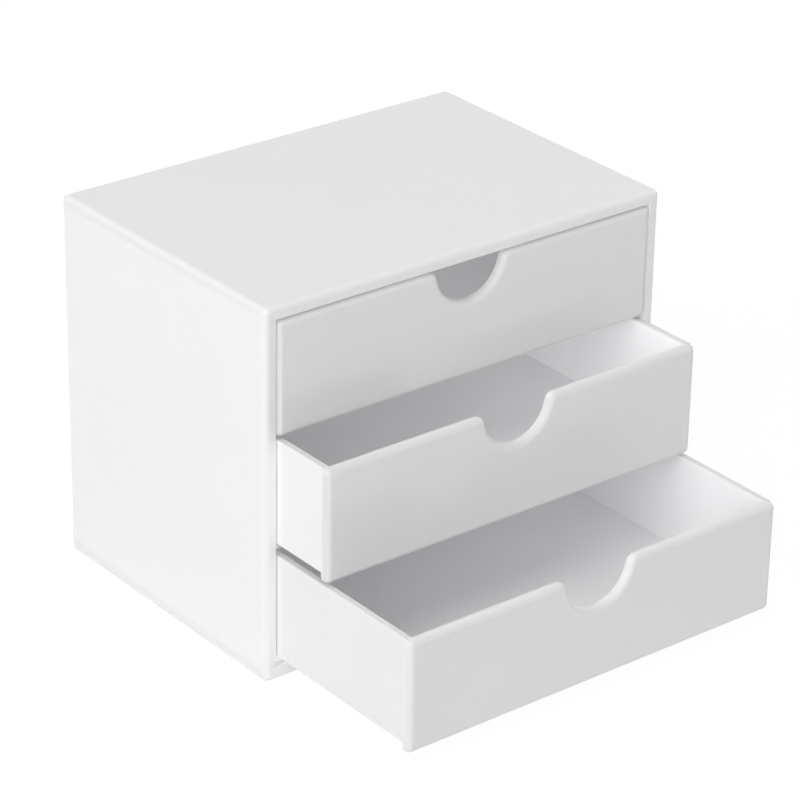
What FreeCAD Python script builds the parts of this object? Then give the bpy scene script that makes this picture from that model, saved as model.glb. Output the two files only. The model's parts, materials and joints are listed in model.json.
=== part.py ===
import FreeCAD, Part
import Sketcher
import enum
import math
import os
import re

# A stackable box with three pull-out drawers, bonded together from acrylic sheet.
# Millimetres. The origin is the centre of the case's underside. +Z is up, the drawers
# pull out towards -Y, and +X is to the right of someone who looks at the fronts.

SIZES = (
    ("CaseWidth", 175.0, "case, outside, left to right"),
    ("CaseDepth", 122.0, "case, outside, front to back"),
    ("CaseHeight", 143.0, "case, outside, bottom to top"),
    ("TopThickness", 4.4, "case top panel"),
    ("BottomThickness", 5.6, "case bottom panel"),
    ("SideThickness", 4.4, "case side panels"),
    ("BackThickness", 3.0, "case back panel"),
    ("ShelfThickness", 3.0, "fixed shelves under the upper drawers"),
    ("CaseEdgeRadius", 2.0, "rounding of the case's outside edges"),
    ("FrontTopGap", 0.8, "above the top drawer's front"),
    ("FrontGap", 1.0, "between two closed fronts"),
    ("FrontBottomGap", 0.3, "below the bottom drawer's front"),
    ("FrontSideGap", 0.3, "beside a drawer's front, each side"),
    ("FrontProud", 0.7, "closed fronts, how far they stand out past the case's front edges"),
    ("FrontThickness", 3.0, "drawer fronts"),
    ("FrontOverhang", 3.3, "how far a front hangs below its tray"),
    ("FrontEdgeRadius", 2.2, "rounding of a front's visible edges"),
    ("StopClearance", 0.2, "between a closed front and the shelf edge behind it"),
    ("SlideClearance", 0.2, "between a tray and the shelf that it slides on"),
    ("WallThickness", 3.0, "tray sides and back"),
    ("FloorThickness", 3.0, "tray floor"),
    ("WallSetIn", 0.4, "tray sides, set in from the ends of the front"),
    ("WallEdgeRadius", 0.6, "rounding of tray walls and shelf edges"),
    ("RearClearance", 3.8, "behind a closed drawer"),
    ("NotchRadius", 14.5, "finger notch in the top edge of a front"),
    ("NotchShoulderRadius", 3.5, "rounding where the notch meets the top edge"),
    ("TopDrawerOut", 0.0, "how far the top drawer is pulled out"),
    ("MiddleDrawerOut", 27.6, "how far the middle drawer is pulled out"),
    ("BottomDrawerOut", 73.0, "how far the bottom drawer is pulled out"),
)

# The drawers from the lowest to the highest, each with its pull-out size.
DRAWERS = (
    ("bottom", "BottomDrawerOut"),
    ("middle", "MiddleDrawerOut"),
    ("top", "TopDrawerOut"),
)

# Sizes that follow from the sheet's sizes.
FRONT_HEIGHT = (
    "((CaseHeight - TopThickness - BottomThickness - FrontTopGap - FrontBottomGap"
    f" - {len(DRAWERS) - 1} * FrontGap) / {len(DRAWERS)})"
)
OPENING_WIDTH = "(CaseWidth - 2 * SideThickness)"
FRONT_WIDTH = f"({OPENING_WIDTH} - 2 * FrontSideGap)"
TRAY_WIDTH = f"({FRONT_WIDTH} - 2 * WallSetIn)"
TRAY_INNER_WIDTH = f"({TRAY_WIDTH} - 2 * WallThickness)"
TRAY_HEIGHT = f"({FRONT_HEIGHT} - FrontOverhang)"
FRONT_PLANE = "(-CaseDepth / 2)"
BACK_PANEL_FACE = "(CaseDepth / 2 - BackThickness)"
SHELF_FRONT = f"({FRONT_PLANE} - FrontProud + FrontThickness + StopClearance)"
SHELF_DEPTH = f"({BACK_PANEL_FACE} - {SHELF_FRONT})"
TRAY_DEPTH = f"({BACK_PANEL_FACE} - RearClearance - {FRONT_PLANE} + FrontProud - FrontThickness)"

# Two places closer together than this count as one.
SAME_PLACE = 0.001

doc = FreeCAD.newDocument("drawer_box")


class Point(enum.IntEnum):
    """How a sketch numbers the points of a line or an arc."""
    START = 1
    END = 2
    CENTRE = 3


class Axis(enum.IntEnum):
    """How a sketch numbers its own axes. The first one starts at its origin."""
    LEVEL = -1
    UPRIGHT = -2


def make_sheet():
    """The spreadsheet with the driving dimensions, one row each."""
    sheet = doc.addObject("Spreadsheet::Sheet", "Sizes")
    for row, (name, value, meaning) in enumerate(SIZES, start=1):
        sheet.set(f"A{row}", meaning)
        sheet.set(f"B{row}", str(value))
        sheet.setAlias(f"B{row}", name)
    doc.recompute()


def of_sheet(text):
    """An expression of sizes, such as 'CaseWidth / 2', that reads them from the spreadsheet."""
    return re.sub(r"[A-Z]\w+", r"Sizes.\g<0>", text)


def size(text):
    """The present value of an expression of sizes."""
    return doc.Sizes.evalExpression(of_sheet(text))


def bind(item, target, text):
    """Ties a property to an expression of sizes."""
    item.setExpression(target, of_sheet(text))


def origin_plane(body, role):
    """One of the body's own origin planes, such as XY_Plane."""
    for feature in body.Origin.OriginFeatures:
        if feature.Role == role:
            return feature
    raise LookupError(role)


def make_sketch(body, role, name):
    """An empty sketch on one of the body's origin planes."""
    sketch = body.newObject("Sketcher::SketchObject", f"{body.Name}_{name}")
    sketch.AttachmentSupport = [(origin_plane(body, role), "")]
    sketch.MapMode = "FlatFace"
    return sketch


def constrain(sketch, kind, *what):
    """Adds one constraint and gives the name that an expression reaches it by."""
    number = sketch.addConstraint(Sketcher.Constraint(kind, *what))
    return f"Constraints[{number}]"


def arc(x, y, radius, start, end):
    """An arc of a circle from one angle to another, anticlockwise."""
    circle = Part.Circle(FreeCAD.Vector(x, y, 0), FreeCAD.Vector(0, 0, 1), radius)
    return Part.ArcOfCircle(circle, start, end)


def rectangle(width, height):
    """A drawing of a rectangle about the sketch's origin, with its sides bound to sizes."""
    def draw(sketch):
        across, up = size(width), size(height)
        corners = [FreeCAD.Vector(x * across / 2, y * up / 2, 0)
                   for x, y in ((-1, -1), (1, -1), (1, 1), (-1, 1))]
        bottom, right, top, left = (
            sketch.addGeometry(Part.LineSegment(start, end), False)
            for start, end in zip(corners, corners[1:] + corners[:1])
        )
        for line, other in ((bottom, right), (right, top), (top, left), (left, bottom)):
            constrain(sketch, "Coincident", line, Point.END, other, Point.START)
        for line in (bottom, top):
            constrain(sketch, "Horizontal", line)
        for line in (right, left):
            constrain(sketch, "Vertical", line)
        constrain(sketch, "Symmetric", bottom, Point.START, right, Point.END, Axis.LEVEL, Point.START)
        bind(sketch, constrain(sketch, "DistanceX", bottom, Point.START, bottom, Point.END, across), width)
        bind(sketch, constrain(sketch, "DistanceY", right, Point.START, right, Point.END, up), height)
    return draw


def make_panel(label, role, thickness, draw):
    """A flat sheet centred on its own origin, drawn on one origin plane and padded both ways."""
    body = doc.addObject("PartDesign::Body", label)
    body.Label = label
    sketch = make_sketch(body, role, "outline")
    draw(sketch)
    pad = body.newObject("PartDesign::Pad", f"{label}_sheet")
    pad.Profile = sketch
    pad.SideType = "Symmetric"
    bind(pad, "Length", thickness)
    doc.recompute()
    return body


def place(body, x="0", y="0", z="0"):
    """Puts the middle of a panel at a place given in sizes."""
    for axis, text in (("x", x), ("y", y), ("z", z)):
        bind(body, f"Placement.Base.{axis}", text)


def lies_on(edge, box, side):
    """True when a whole edge lies on one side of a box, such as XMin or ZMax."""
    low = getattr(edge.BoundBox, side[0] + "Min")
    high = getattr(edge.BoundBox, side[0] + "Max")
    at = getattr(box, side)
    return abs(low - at) < SAME_PLACE and abs(high - at) < SAME_PLACE


def round_edges(body, radius, *corners):
    """Rounds the edges that lie on all the sides of one of the given corners, such as 'XMin ZMax'."""
    base = body.Tip
    shape = base.Shape
    names = []
    for number, edge in enumerate(shape.Edges, start=1):
        for corner in corners:
            if all(lies_on(edge, shape.BoundBox, side) for side in corner.split()):
                names.append(f"Edge{number}")
                break
    fillet = body.newObject("PartDesign::Fillet", f"{body.Name}_rounding")
    fillet.Base = (base, names)
    bind(fillet, "Radius", radius)
    doc.recompute()


def case_panels():
    """The outer case: top and bottom over the full plan, sides between them, back between the sides."""
    upright = "(CaseHeight - TopThickness - BottomThickness)"
    upright_middle = "(BottomThickness + (CaseHeight - TopThickness)) / 2"
    uprights = ("XMin YMin", "XMin YMax", "XMax YMin", "XMax YMax")

    top = make_panel("case_top", "XY_Plane", "TopThickness", rectangle("CaseWidth", "CaseDepth"))
    round_edges(top, "CaseEdgeRadius", "ZMax", *uprights)
    place(top, z="CaseHeight - TopThickness / 2")

    bottom = make_panel("case_bottom", "XY_Plane", "BottomThickness", rectangle("CaseWidth", "CaseDepth"))
    round_edges(bottom, "CaseEdgeRadius", "ZMin", *uprights)
    place(bottom, z="BottomThickness / 2")

    for label, outer, sign in (("case_left_side", "XMin", "-"), ("case_right_side", "XMax", "")):
        side = make_panel(label, "YZ_Plane", "SideThickness", rectangle("CaseDepth", upright))
        round_edges(side, "CaseEdgeRadius", f"{outer} YMin", f"{outer} YMax")
        place(side, x=f"{sign}(CaseWidth - SideThickness) / 2", z=upright_middle)

    back = make_panel("case_back", "XZ_Plane", "BackThickness", rectangle(OPENING_WIDTH, upright))
    place(back, y="(CaseDepth - BackThickness) / 2", z=upright_middle)


def tray_bottom(level):
    """Height of a tray's underside, counted in drawers from the lowest one."""
    return (f"(BottomThickness + FrontBottomGap + {level} * ({FRONT_HEIGHT} + FrontGap)"
            " + FrontOverhang)")


def shelf(label, level):
    """The sheet that a drawer slides on. The lowest one lies on the case's bottom panel."""
    surface = f"({tray_bottom(level)} - SlideClearance)"
    thickness = "ShelfThickness" if level else f"({surface} - BottomThickness)"
    sheet = make_panel(label, "XY_Plane", thickness, rectangle(OPENING_WIDTH, SHELF_DEPTH))
    round_edges(sheet, "WallEdgeRadius", "YMin ZMax")
    place(sheet, y=f"({SHELF_FRONT} + {BACK_PANEL_FACE}) / 2", z=f"{surface} - {thickness} / 2")


def draw_front(sketch):
    """A front's outline: a rectangle whose top edge dips into a round notch with round shoulders."""
    across, up = size(FRONT_WIDTH), size(FRONT_HEIGHT)
    side, top = across / 2, up / 2
    notch = size("NotchRadius")
    shoulder = size("NotchShoulderRadius")
    reach = math.sqrt((notch + shoulder) ** 2 - shoulder ** 2)
    lean = math.atan2(shoulder, reach)
    corners = {
        "low left": FreeCAD.Vector(-side, -top, 0),
        "low right": FreeCAD.Vector(side, -top, 0),
        "high right": FreeCAD.Vector(side, top, 0),
        "right of notch": FreeCAD.Vector(reach, top, 0),
        "left of notch": FreeCAD.Vector(-reach, top, 0),
        "high left": FreeCAD.Vector(-side, top, 0),
    }
    runs = (("low left", "low right"), ("low right", "high right"), ("high right", "right of notch"),
            ("left of notch", "high left"), ("high left", "low left"))
    bottom, right, top_right, top_left, left = (
        sketch.addGeometry(Part.LineSegment(corners[start], corners[end]), False) for start, end in runs
    )
    arcs = ((reach, top - shoulder, shoulder, math.pi / 2, math.pi - lean),
            (0, top, notch, math.pi + lean, 2 * math.pi - lean),
            (-reach, top - shoulder, shoulder, lean, math.pi / 2))
    right_arc, notch_arc, left_arc = (sketch.addGeometry(arc(*values), False) for values in arcs)

    for line, other in ((bottom, right), (right, top_right), (top_left, left), (left, bottom)):
        constrain(sketch, "Coincident", line, Point.END, other, Point.START)
    for line in (bottom, top_right, top_left):
        constrain(sketch, "Horizontal", line)
    for line in (right, left):
        constrain(sketch, "Vertical", line)
    constrain(sketch, "Tangent", top_right, Point.END, right_arc, Point.START)
    constrain(sketch, "Tangent", right_arc, Point.END, notch_arc, Point.END)
    constrain(sketch, "Tangent", notch_arc, Point.START, left_arc, Point.START)
    constrain(sketch, "Tangent", left_arc, Point.END, top_left, Point.START)
    constrain(sketch, "PointOnObject", notch_arc, Point.CENTRE, Axis.UPRIGHT)
    for line in (top_right, top_left):
        constrain(sketch, "PointOnObject", notch_arc, Point.CENTRE, line)
    constrain(sketch, "Equal", right_arc, left_arc)
    constrain(sketch, "Symmetric", bottom, Point.START, right, Point.END, Axis.LEVEL, Point.START)
    width = constrain(sketch, "DistanceX", bottom, Point.START, bottom, Point.END, across)
    height = constrain(sketch, "DistanceY", right, Point.START, right, Point.END, up)
    bind(sketch, width, FRONT_WIDTH)
    bind(sketch, height, FRONT_HEIGHT)
    bind(sketch, constrain(sketch, "Radius", notch_arc, notch), "NotchRadius")
    bind(sketch, constrain(sketch, "Radius", right_arc, shoulder), "NotchShoulderRadius")


def drawer_front(label, centre_y, base):
    """The front sheet, with its visible edges rounded."""
    front = make_panel(label, "XZ_Plane", "FrontThickness", draw_front)
    round_edges(front, "FrontEdgeRadius", "YMin", "XMin ZMin", "XMin ZMax", "XMax ZMin", "XMax ZMax")
    place(front, y=centre_y, z=f"{base} - FrontOverhang + {FRONT_HEIGHT} / 2")


def drawer(name, out, level):
    """One pull-out tray: its front, two sides, a back and a floor."""
    base = tray_bottom(level)
    front_face = f"({FRONT_PLANE} - FrontProud - {out})"
    tray_front = f"({front_face} + FrontThickness)"
    tray_back = f"({tray_front} + {TRAY_DEPTH})"
    wall_middle = f"{base} + {TRAY_HEIGHT} / 2"

    drawer_front(f"{name}_drawer_front", f"{front_face} + FrontThickness / 2", base)

    for hand, outer, sign in (("left", "XMin", "-"), ("right", "XMax", "")):
        inner = "XMax" if outer == "XMin" else "XMin"
        side = make_panel(f"{name}_drawer_{hand}_side", "YZ_Plane", "WallThickness",
                          rectangle(TRAY_DEPTH, TRAY_HEIGHT))
        round_edges(side, "WallEdgeRadius",
                    f"{outer} ZMax", f"{inner} ZMax", f"{outer} ZMin", f"{outer} YMax")
        place(side, x=f"{sign}({TRAY_WIDTH} - WallThickness) / 2",
              y=f"({tray_front} + {tray_back}) / 2", z=wall_middle)

    back = make_panel(f"{name}_drawer_back", "XZ_Plane", "WallThickness",
                      rectangle(TRAY_INNER_WIDTH, TRAY_HEIGHT))
    round_edges(back, "WallEdgeRadius", "YMin ZMax", "YMax ZMax")
    place(back, y=f"{tray_back} - WallThickness / 2", z=wall_middle)

    floor = make_panel(f"{name}_drawer_floor", "XY_Plane", "FloorThickness",
                       rectangle(TRAY_INNER_WIDTH, f"({TRAY_DEPTH} - WallThickness)"))
    place(floor, y=f"({tray_front} + {tray_back} - WallThickness) / 2", z=f"{base} + FloorThickness / 2")


def check_and_write():
    """Stops on any failed feature or bad shape, and otherwise writes one file for each piece."""
    doc.recompute()
    for item in doc.Objects:
        if "Invalid" in item.State or "Error" in item.State:
            raise RuntimeError(f"{item.Name} failed: {item.State}")
    bodies = [item for item in doc.Objects if item.TypeId == "PartDesign::Body"]
    for body in bodies:
        if body.Shape.isNull() or not body.Shape.isValid() or len(body.Shape.Solids) != 1:
            raise RuntimeError(f"{body.Label} has no single valid solid")
    os.makedirs("parts", exist_ok=True)
    for body in bodies:
        body.Shape.exportStep(f"parts/{body.Label}.step")
        box = body.Shape.BoundBox
        print(f"{body.Label}: x {box.XMin:.2f} to {box.XMax:.2f}, y {box.YMin:.2f} to {box.YMax:.2f},"
              f" z {box.ZMin:.2f} to {box.ZMax:.2f}, volume {body.Shape.Volume:.0f}")


make_sheet()
case_panels()
for level, (name, out) in enumerate(DRAWERS):
    shelf(f"shelf_{name}", level)
    drawer(name, out, level)
check_and_write()
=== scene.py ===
import json
import math

import bpy
from mathutils import Matrix, Vector


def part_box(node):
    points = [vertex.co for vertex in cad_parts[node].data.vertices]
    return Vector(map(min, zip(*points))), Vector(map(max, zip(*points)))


# A stackable drawer box of glossy white acrylic sheet, on a white studio floor.
# Metres, in the same frame as the CAD model: +Z up, the drawers pull out towards -Y.

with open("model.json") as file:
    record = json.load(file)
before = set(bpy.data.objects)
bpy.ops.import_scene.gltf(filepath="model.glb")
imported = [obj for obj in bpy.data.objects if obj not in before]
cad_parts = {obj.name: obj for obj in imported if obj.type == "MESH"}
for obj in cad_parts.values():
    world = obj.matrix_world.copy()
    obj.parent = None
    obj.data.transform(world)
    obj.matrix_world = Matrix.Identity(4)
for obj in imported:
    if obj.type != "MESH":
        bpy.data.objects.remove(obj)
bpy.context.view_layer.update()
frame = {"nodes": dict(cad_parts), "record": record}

MM = 0.001


# Colours

def linear(code):
    """A colour written as sRGB hex, turned to the linear values that a shader takes."""
    channels = (int(code[start:start + 2], 16) / 255 for start in (1, 3, 5))
    return (*(c / 12.92 if c <= 0.04045 else ((c + 0.055) / 1.055) ** 2.4 for c in channels), 1.0)


WHITE = linear("#FFFFFF")


# Materials

# A colour mix's sockets: its first and second colour and its result.
MIX_A, MIX_B, MIX_COLOUR = 6, 7, 2


def add(tree, kind, sockets=None, **settings):
    """Adds a node: its settings first, then each socket's value or the output that feeds it."""
    node = tree.nodes.new(kind)
    for name, value in settings.items():
        setattr(node, name, value)
    for name, value in (sockets or {}).items():
        if isinstance(value, bpy.types.NodeSocket):
            tree.links.new(value, node.inputs[name])
        else:
            node.inputs[name].default_value = value
    return node


def maths(tree, operation, *values):
    """The result of one operation on numbers or outputs."""
    return add(tree, "ShaderNodeMath", dict(enumerate(values)), operation=operation).outputs[0]


def ramp(tree, value, low, high, start=0.0, end=1.0):
    """start where the value is at low, end where it is at high, and an even slope between them."""
    return add(tree, "ShaderNodeMapRange",
               {"Value": value, "From Min": low, "From Max": high, "To Min": start, "To Max": end}).outputs[0]


def mixed(tree, share, first, second):
    """The first colour, turned into the second by the given share."""
    return add(tree, "ShaderNodeMix", {0: share, MIX_A: first, MIX_B: second},
               data_type="RGBA").outputs[MIX_COLOUR]


def noise(tree, place, width, detail, roughness=0.5, distortion=0.0):
    """Soft random patches of about the given width."""
    return add(tree, "ShaderNodeTexNoise",
               {"Vector": place, "Scale": 1 / width, "Detail": detail, "Roughness": roughness,
                "Distortion": distortion}).outputs[0]


def new_material(name):
    """An empty node material and its output node."""
    material = bpy.data.materials.new(name)
    material.use_nodes = True
    material.node_tree.nodes.clear()
    return material, add(material.node_tree, "ShaderNodeOutputMaterial")


ACRYLIC_IOR = 1.49
CLEAN_ROUGHNESS = 0.07
SMUDGED_ROUGHNESS = 0.15
HAIRLINE_ROUGHNESS = 0.08  # what a full scratch adds to the roughness
CUT_ROUGHNESS = 0.42

# White sheet lets some of the studio's light through. A painted glow stands in for it: the case's inner
# faces give off a faint even light, which is what lights the inside of a closed drawer. It fades out
# towards the open front.
GLOW = 0.146
GLOW_FADE = 18 * MM      # the depth over which the glow grows to its full strength
FRONT_GLOW_SHARE = 0.35  # the share of it that is left at the front

# A painted glow on a few drawer walls' inner faces stands in for the light that a wall facing a lamp lets
# through into the tray, and a fainter one on the shelves' undersides for the little that a shelf passes on,
# down into the drawer below.
WALL_GLOW = {"middle_drawer_right_side": 0.12, "bottom_drawer_right_side": 0.03}
SHELF_GLOW = {"shelf_top": 0.05, "shelf_middle": 0.012}

# Light that is carried inside a sheet leaves at its cut edge. A painted glow on the case's cut front edges
# stands in for it, so a front edge that lies in shade still looks pale.
CUT_GLOW = {"shelf_bottom": 0.28, "case_bottom": 0.12}
CASE_CUT_GLOW = 0.075
CUT_GLOW_DEPTH = 0.5 * MM

# The pattern sizes of polished acrylic sheet.
CLOUD = 38 * MM          # width of a faint patch in the white of the sheet
RIPPLE = 16 * MM         # the slow ripple that polishing rolls leave in a face
RIPPLE_HEIGHT = 0.012 * MM
CUT_WAVE = 2.4 * MM      # the waviness of a saw cut after it was polished
CUT_HEIGHT = 0.02 * MM
SMUDGE = 24 * MM         # a wiped smear or a fingermark's width
HAIRLINE = 0.5 * MM      # a wiping scratch, drawn wider than a real one so that it shows
HAIRLINE_LENGTH = 30 * MM
EDGE_BAND = 0.7 * MM     # how far below the face the cut edge's finish is reached
FACE_BAND = 0.05 * MM    # and how far below it the face's finish ends

# How finely each pattern is broken up: its detail, and where set its roughness and distortion.
CLOUD_GRAIN = (3.0, 0.55)
SMUDGE_GRAIN = (4.0, 0.6, 0.6)
HAIRLINE_GRAIN = (2.0,)
RIPPLE_GRAIN = (1.0,)
CUT_GRAIN = (2.0,)

# The levels of a pattern's noise from which a mark starts to show and at which it is full.
SMUDGE_LEVELS = (0.35, 0.75)
HAIRLINE_LEVELS = (0.62, 0.74)

HAIRLINE_TILT = (0.21, 0.17, 0.26)  # radians, a little aslant to the sheet's edges


def polished_acrylic(name, colours, across, middle, half, front, cut_glow=0, inward=0, face_glow=(0, 0)):
    """Opaque white acrylic sheet with polished faces and sanded cut edges.

    Clear gloss over an even, faintly cloudy white. The faces mirror softly, with a slow ripple and
    hairline wiping marks. The cut edges are satin, a little greyer and wavier than the faces.
    across is the axis through the sheet's thickness, and middle and half say where the sheet is on it.
    colours are the face's clearer and cloudier white and the cut edge's. front is the place of the front
    edge along Y, and cut_glow the strength of that edge's glow. inward is the way along across that faces
    the inside, and face_glow the strength of that face's glow at the front and deep inside."""
    face_hex, cloudy_hex, edge_hex = colours
    material, output = new_material(name)
    tree = material.node_tree
    place = add(tree, "ShaderNodeTexCoord").outputs["Object"]

    axes = add(tree, "ShaderNodeSeparateXYZ", {0: place}).outputs
    depth, along = axes[across], axes["Y"]
    from_middle = maths(tree, "SUBTRACT", depth, middle)
    on_face = ramp(tree, maths(tree, "ABSOLUTE", from_middle), half - EDGE_BAND, half - FACE_BAND)

    cloud = noise(tree, place, CLOUD, *CLOUD_GRAIN)
    clouded = mixed(tree, cloud, linear(face_hex), linear(cloudy_hex))
    colour = mixed(tree, on_face, linear(edge_hex), clouded)

    smudge = noise(tree, place, SMUDGE, *SMUDGE_GRAIN)
    dull = ramp(tree, smudge, *SMUDGE_LEVELS, CLEAN_ROUGHNESS, SMUDGED_ROUGHNESS)
    wiped = [HAIRLINE, HAIRLINE, HAIRLINE]
    wiped[(across + 1) % 3] = HAIRLINE_LENGTH  # the scratches run along the face
    stretched = add(tree, "ShaderNodeMapping",
                    {"Vector": place, "Rotation": HAIRLINE_TILT,
                     "Scale": [1 / width for width in wiped]}).outputs[0]
    streaks = noise(tree, stretched, 1.0, *HAIRLINE_GRAIN)
    hairlines = ramp(tree, streaks, *HAIRLINE_LEVELS, 0.0, HAIRLINE_ROUGHNESS)
    marked = maths(tree, "ADD", dull, hairlines)
    rough = ramp(tree, on_face, 0.0, 1.0, CUT_ROUGHNESS, marked)

    ripple = noise(tree, place, RIPPLE, *RIPPLE_GRAIN)
    rolled = add(tree, "ShaderNodeBump", {"Height": ripple, "Distance": RIPPLE_HEIGHT}).outputs[0]
    wave = noise(tree, place, CUT_WAVE, *CUT_GRAIN)
    cut = maths(tree, "MULTIPLY", wave, maths(tree, "SUBTRACT", 1.0, on_face))
    normal = add(tree, "ShaderNodeBump",
                 {"Height": cut, "Distance": CUT_HEIGHT, "Normal": rolled}).outputs[0]

    shader = add(tree, "ShaderNodeBsdfPrincipled",
                 {"Base Color": colour, "Roughness": rough, "Normal": normal, "IOR": ACRYLIC_IOR,
                  "Emission Color": WHITE})
    # Painted light: the emission set up below makes the cut front edge and the inner face glow, though the
    # sheet is no lamp.
    glow = 0.0
    if cut_glow:
        glow = ramp(tree, along, front + CUT_GLOW_DEPTH, front, 0.0, cut_glow)
    if face_glow[1]:
        towards = maths(tree, "MULTIPLY", from_middle, inward)
        inside = ramp(tree, towards, half - FACE_BAND, half)
        behind = ramp(tree, along, front, front + GLOW_FADE, *face_glow)
        glow = maths(tree, "MULTIPLY_ADD", inside, behind, glow)
    if glow:
        tree.links.new(glow, shader.inputs["Emission Strength"])
    tree.links.new(shader.outputs[0], output.inputs[0])
    return material


# The clearer and the cloudier white of a sheet's faces, and its cut edge. One drawer's left side is a
# slightly greyer white, and its front's cut edges a little paler.
CASE_WHITE = ("#F7F7F7", "#F4F4F4", "#F0F0F0")
DRAWER_WHITE = ("#F6F6F7", "#F3F3F4", "#E3E3E3")
OTHER_WHITE = {
    "bottom_drawer_left_side": ("#F0F0F1", "#EDEDEE", "#E6E6E6"),
    "bottom_drawer_front": ("#F6F6F7", "#F3F3F4", "#E9E9E9"),
}

CASE_SHELL = ("case_top", "case_left_side", "case_right_side", "case_back")
case_middle = (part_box("case_bottom")[0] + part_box("case_top")[1]) / 2  # the point that inner faces face

for body, nodes in frame["record"]["behaviour"]["bodies"].items():
    of_case = body == "case"
    for name in nodes:
        low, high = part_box(name)
        size = high - low
        across = min(range(3), key=lambda axis: size[axis])
        middle = (low[across] + high[across]) / 2
        colours = CASE_WHITE if of_case else OTHER_WHITE.get(name, DRAWER_WHITE)
        cut_glow = CUT_GLOW.get(name, CASE_CUT_GLOW) if of_case else 0
        inward = -1 if name in SHELF_GLOW else math.copysign(1, case_middle[across] - middle)
        inner_glow = SHELF_GLOW.get(name, WALL_GLOW.get(name, 0))
        face_glow = (FRONT_GLOW_SHARE * GLOW, GLOW) if name in CASE_SHELL else (inner_glow, inner_glow)
        sheet = polished_acrylic(f"polished_acrylic_{name}", colours, across, middle, size[across] / 2,
                                 low.y, cut_glow, inward, face_glow)
        mesh = frame["nodes"][name].data
        mesh.materials.clear()
        mesh.materials.append(sheet)


# The studio: a white floor, a white surround and soft lamps

def when_seen(tree, share):
    """The given share for rays that see the surroundings, straight, in gloss or through something clear,
    and none for the rays that light the object."""
    path = add(tree, "ShaderNodeLightPath").outputs
    seen = path["Is Camera Ray"]
    for ray in ("Is Glossy Ray", "Is Transmission Ray"):
        seen = maths(tree, "MAXIMUM", seen, path[ray])
    return maths(tree, "MULTIPLY", seen, share)


# The floor is seen as plain white, but for the small share in which its shading and the object's
# shadow show.
FLOOR_SIZE = 8.0         # metres
PAPER_WHITE = linear("#F0F0F0")
PAPER_ROUGHNESS = 0.5
FLOOR_WHITE_SHARE = 0.94
FLOOR_WHITE = 1.02       # a little over 1, because the paper's own shading takes a share
SURROUND_WHITE = 1.0

bpy.ops.object.select_all(action="DESELECT")
bpy.ops.mesh.primitive_plane_add(size=FLOOR_SIZE, location=(0, 0, 0))
floor = bpy.context.object
floor.name = "studio_floor"
paper, output = new_material("matt_white_paper")
tree = paper.node_tree
shaded = add(tree, "ShaderNodeBsdfDiffuse", {"Color": PAPER_WHITE, "Roughness": PAPER_ROUGHNESS}).outputs[0]
plain = add(tree, "ShaderNodeEmission", {"Color": WHITE, "Strength": FLOOR_WHITE}).outputs[0]
seen_white = add(tree, "ShaderNodeMixShader", {0: when_seen(tree, FLOOR_WHITE_SHARE), 1: shaded, 2: plain})
tree.links.new(seen_white.outputs[0], output.inputs[0])
floor.data.materials.append(paper)

world = bpy.data.worlds.new("white_surround")
world.use_nodes = True
world.node_tree.nodes.clear()
bpy.context.scene.world = world
tree = world.node_tree
surround = add(tree, "ShaderNodeBackground",
               {"Color": WHITE, "Strength": when_seen(tree, SURROUND_WHITE)})
add(tree, "ShaderNodeOutputWorld", {"Surface": surround.outputs[0]})

LAMP_AIM = Vector((0, -30, 70)) * MM

# Each lamp: its place in metres, the width and height of its panel and its power in watts.
LAMPS = {
    "left_softbox": ((-2.75, -0.5, 1.35), (1.8, 2.4), 46.5),
    "left_front_softbox": ((-1.8, -2.2, 1.35), (1.8, 2.4), 31.0),
    "top_softbox": ((0.0, 0.0, 2.9), (3.2, 3.2), 40.5),
    "front_softbox": ((0.6, -2.8, 1.35), (2.2, 2.4), 2.0),
    "right_softbox": ((2.8, -0.1, 1.35), (2.2, 2.4), 32.0),
    "back_softbox": ((-0.8, 2.5, 1.2), (2.0, 2.2), 6.0),
}
for name, (place, (width, height), power) in LAMPS.items():
    lamp = bpy.data.lights.new(name, "AREA")
    lamp.shape = "RECTANGLE"
    lamp.size, lamp.size_y = width, height
    lamp.energy = power
    holder = bpy.data.objects.new(name, lamp)
    holder.location = place
    holder.rotation_euler = (LAMP_AIM - Vector(place)).to_track_quat("-Z", "Y").to_euler()
    bpy.context.scene.collection.objects.link(holder)


# The camera, found from the straight edges of the object in the photograph

CAMERA_PLACE = Vector((-697.24, -895.11, 622.17)) * MM
CAMERA_AZIMUTH = math.radians(38.662)
CAMERA_ELEVATION = math.radians(26.336)
CAMERA_ROLL = math.radians(1.020)
LENS, SENSOR = 155.32, 36.0

forward = Vector((math.sin(CAMERA_AZIMUTH) * math.cos(CAMERA_ELEVATION),
                  math.cos(CAMERA_AZIMUTH) * math.cos(CAMERA_ELEVATION),
                  -math.sin(CAMERA_ELEVATION)))
level = forward.cross(Vector((0, 0, 1))).normalized()
right = Matrix.Rotation(-CAMERA_ROLL, 3, forward) @ level
up = right.cross(forward)
lens = bpy.data.cameras.new("studio_camera")
lens.lens, lens.sensor_width = LENS, SENSOR
camera = bpy.data.objects.new("studio_camera", lens)
camera.matrix_world = Matrix.Translation(CAMERA_PLACE) @ Matrix((right, up, -forward)).transposed().to_4x4()
bpy.context.scene.collection.objects.link(camera)
bpy.context.scene.camera = camera
bpy.context.scene.view_settings.view_transform = "Standard"

# Light is followed far into the white trays, where it keeps bouncing.
DIFFUSE_BOUNCES, ALL_BOUNCES = 16, 24
bpy.context.scene.cycles.diffuse_bounces = DIFFUSE_BOUNCES
bpy.context.scene.cycles.max_bounces = ALL_BOUNCES
